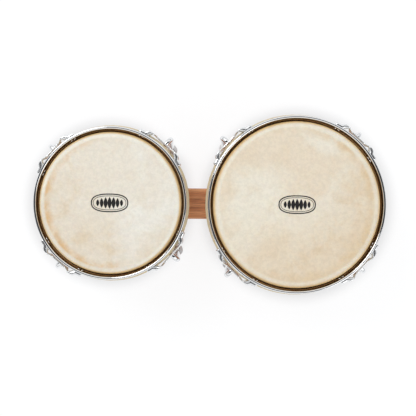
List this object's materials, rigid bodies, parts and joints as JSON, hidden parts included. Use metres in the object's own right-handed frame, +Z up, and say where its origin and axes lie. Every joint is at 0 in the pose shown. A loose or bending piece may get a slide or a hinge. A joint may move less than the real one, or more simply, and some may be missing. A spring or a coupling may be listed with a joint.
{
  "type": "bongo drums",
  "caption": "Pair of open-ended stave hand drums, small and large, with hide heads, chrome tuning rims and hooks, joined by a wooden bridge block.",
  "frame": {"origin": "on the floor under the middle of the whole object", "axes": "+X from the small drum to the large drum, +Z up along the drum axes"},
  "size_m": [0.4796, 0.2458, 0.165],
  "materials": {
    "skin": "natural hide, matte",
    "chrome": "polished",
    "hoop_steel": "plain steel rod",
    "nut_steel": "zinc plated",
    "small_wood": "stained and lacquered",
    "large_wood": "stained and lacquered",
    "bridge_wood": "stained and oiled"
  },
  "bodies": {
    "root": {"small_shell": "small_wood", "small_head_skin": "skin", "small_bottom_ring": "chrome", "small_washers": "nut_steel", "small_backing_plate": "nut_steel", "large_shell": "large_wood", "large_head_skin": "skin", "large_bottom_ring": "chrome", "large_washers": "nut_steel", "large_backing_plate": "nut_steel", "bridge_block": "bridge_wood", "bridge_studs": "nut_steel", "bridge_washers": "nut_steel", "bridge_nuts": "nut_steel"},
    "small_rim_set": {"small_rim": "chrome", "small_crown_plates": "chrome", "small_flesh_hoop": "hoop_steel"},
    "small_hook_1": {"small_hook_1": "chrome"},
    "small_nut_1": {"small_nut_1": "nut_steel"},
    "small_hook_2": {"small_hook_2": "chrome"},
    "small_nut_2": {"small_nut_2": "nut_steel"},
    "small_hook_3": {"small_hook_3": "chrome"},
    "small_nut_3": {"small_nut_3": "nut_steel"},
    "small_hook_4": {"small_hook_4": "chrome"},
    "small_nut_4": {"small_nut_4": "nut_steel"},
    "large_rim_set": {"large_rim": "chrome", "large_crown_plates": "chrome", "large_flesh_hoop": "hoop_steel"},
    "large_hook_1": {"large_hook_1": "chrome"},
    "large_nut_1": {"large_nut_1": "nut_steel"},
    "large_hook_2": {"large_hook_2": "chrome"},
    "large_nut_2": {"large_nut_2": "nut_steel"},
    "large_hook_3": {"large_hook_3": "chrome"},
    "large_nut_3": {"large_nut_3": "nut_steel"},
    "large_hook_4": {"large_hook_4": "chrome"},
    "large_nut_4": {"large_nut_4": "nut_steel"}
  },
  "joints": [
    {"name": "small_tuning", "type": "slide", "parent": "root", "child": "small_rim_set", "axis": [0, 0, -1], "range_m": [-0.003, 0.004], "deforming": ["small_head_skin"]},
    {"name": "small_hook_1_draw", "type": "slide", "parent": "root", "child": "small_hook_1", "axis": [-0.0575, -0.0655, -0.9962], "range_m": [-0.00303, 0.00404]},
    {"name": "small_nut_1_turn", "type": "hinge", "parent": "root", "child": "small_nut_1", "pos_m": [-0.06084, 0.083, 0.032], "axis": [0.0575, 0.0655, 0.9962], "range_deg": [-872.3, 1161.4]},
    {"name": "small_hook_2_draw", "type": "slide", "parent": "root", "child": "small_hook_2", "axis": [0.0655, -0.0575, -0.9962], "range_m": [-0.00303, 0.00404]},
    {"name": "small_nut_2_turn", "type": "hinge", "parent": "root", "child": "small_nut_2", "pos_m": [-0.21675, 0.07291, 0.032], "axis": [-0.0655, 0.0575, 0.9962], "range_deg": [-872.3, 1161.4]},
    {"name": "small_hook_3_draw", "type": "slide", "parent": "root", "child": "small_hook_3", "axis": [0.0575, 0.0655, -0.9962], "range_m": [-0.00303, 0.00404]},
    {"name": "small_nut_3_turn", "type": "hinge", "parent": "root", "child": "small_nut_3", "pos_m": [-0.20666, -0.083, 0.032], "axis": [-0.0575, -0.0655, 0.9962], "range_deg": [-872.3, 1161.4]},
    {"name": "small_hook_4_draw", "type": "slide", "parent": "root", "child": "small_hook_4", "axis": [-0.0655, 0.0575, -0.9962], "range_m": [-0.00303, 0.00404]},
    {"name": "small_nut_4_turn", "type": "hinge", "parent": "root", "child": "small_nut_4", "pos_m": [-0.05075, -0.07291, 0.032], "axis": [0.0655, -0.0575, 0.9962], "range_deg": [-872.3, 1161.4]},
    {"name": "large_tuning", "type": "slide", "parent": "root", "child": "large_rim_set", "axis": [0, 0, -1], "range_m": [-0.003, 0.004], "deforming": ["large_head_skin"]},
    {"name": "large_hook_1_draw", "type": "slide", "parent": "root", "child": "large_hook_1", "axis": [-0.0591, -0.0641, -0.9962], "range_m": [-0.00303, 0.00404]},
    {"name": "large_nut_1_turn", "type": "hinge", "parent": "root", "child": "large_nut_1", "pos_m": [0.20326, 0.09354, 0.032], "axis": [0.0591, 0.0641, 0.9962], "range_deg": [-872.3, 1161.4]},
    {"name": "large_hook_2_draw", "type": "slide", "parent": "root", "child": "large_hook_2", "axis": [0.0641, -0.0591, -0.9962], "range_m": [-0.00303, 0.00404]},
    {"name": "large_nut_2_turn", "type": "hinge", "parent": "root", "child": "large_nut_2", "pos_m": [0.02341, 0.08631, 0.032], "axis": [-0.0641, 0.0591, 0.9962], "range_deg": [-872.3, 1161.4]},
    {"name": "large_hook_3_draw", "type": "slide", "parent": "root", "child": "large_hook_3", "axis": [0.0591, 0.0641, -0.9962], "range_m": [-0.00303, 0.00404]},
    {"name": "large_nut_3_turn", "type": "hinge", "parent": "root", "child": "large_nut_3", "pos_m": [0.03064, -0.09354, 0.032], "axis": [-0.0591, -0.0641, 0.9962], "range_deg": [-872.3, 1161.4]},
    {"name": "large_hook_4_draw", "type": "slide", "parent": "root", "child": "large_hook_4", "axis": [-0.0641, 0.0591, -0.9962], "range_m": [-0.00303, 0.00404]},
    {"name": "large_nut_4_turn", "type": "hinge", "parent": "root", "child": "large_nut_4", "pos_m": [0.21049, -0.08631, 0.032], "axis": [0.0641, -0.0591, 0.9962], "range_deg": [-872.3, 1161.4]}
  ],
  "couplings": [
    {"joint": "small_hook_1_draw", "follows": "small_tuning", "ratio": 1.0038},
    {"joint": "small_nut_1_turn", "follows": "small_tuning", "rad_per_m": 5045.7},
    {"joint": "small_hook_2_draw", "follows": "small_tuning", "ratio": 1.0038},
    {"joint": "small_nut_2_turn", "follows": "small_tuning", "rad_per_m": 5045.7},
    {"joint": "small_hook_3_draw", "follows": "small_tuning", "ratio": 1.0038},
    {"joint": "small_nut_3_turn", "follows": "small_tuning", "rad_per_m": 5045.7},
    {"joint": "small_hook_4_draw", "follows": "small_tuning", "ratio": 1.0038},
    {"joint": "small_nut_4_turn", "follows": "small_tuning", "rad_per_m": 5045.7},
    {"joint": "large_hook_1_draw", "follows": "large_tuning", "ratio": 1.0038},
    {"joint": "large_nut_1_turn", "follows": "large_tuning", "rad_per_m": 5045.7},
    {"joint": "large_hook_2_draw", "follows": "large_tuning", "ratio": 1.0038},
    {"joint": "large_nut_2_turn", "follows": "large_tuning", "rad_per_m": 5045.7},
    {"joint": "large_hook_3_draw", "follows": "large_tuning", "ratio": 1.0038},
    {"joint": "large_nut_3_turn", "follows": "large_tuning", "rad_per_m": 5045.7},
    {"joint": "large_hook_4_draw", "follows": "large_tuning", "ratio": 1.0038},
    {"joint": "large_nut_4_turn", "follows": "large_tuning", "rad_per_m": 5045.7}
  ]
}
